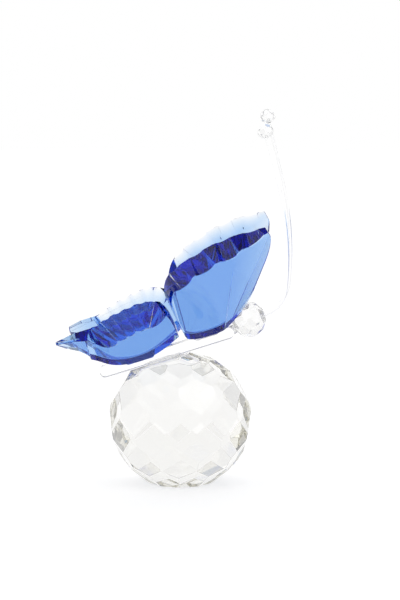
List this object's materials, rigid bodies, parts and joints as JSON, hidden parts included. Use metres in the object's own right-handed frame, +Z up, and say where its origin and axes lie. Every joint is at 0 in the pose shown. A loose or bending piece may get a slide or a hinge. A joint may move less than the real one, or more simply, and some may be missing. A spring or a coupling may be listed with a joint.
{
  "type": "butterfly ornament",
  "caption": "Cut-glass butterfly with thick blue fluted wings on a clear rod body, bonded to a faceted clear glass ball that stands on its flat base.",
  "frame": {"origin": "centre of the ball's flat base", "axes": "+X towards the butterfly's head, -Y its right side, +Z up"},
  "size_m": [0.0645, 0.0502, 0.1027],
  "materials": {
    "clear_glass": "clear cut glass, polished",
    "blue_glass": "light sapphire-blue cut glass, polished",
    "adhesive": "clear cured adhesive, glossy"
  },
  "bodies": {
    "root": {"ball_base": "clear_glass", "body_rod": "clear_glass", "seat_adhesive": "adhesive", "right_forewing": "blue_glass", "left_forewing": "blue_glass", "right_hindwing": "blue_glass", "left_hindwing": "blue_glass", "right_forewing_adhesive": "adhesive", "left_forewing_adhesive": "adhesive", "right_hindwing_adhesive": "adhesive", "left_hindwing_adhesive": "adhesive", "head_bead": "clear_glass", "head_adhesive": "adhesive", "right_antenna": "clear_glass", "left_antenna": "clear_glass", "right_antenna_bead": "clear_glass", "left_antenna_bead": "clear_glass"}
  },
  "joints": []
}
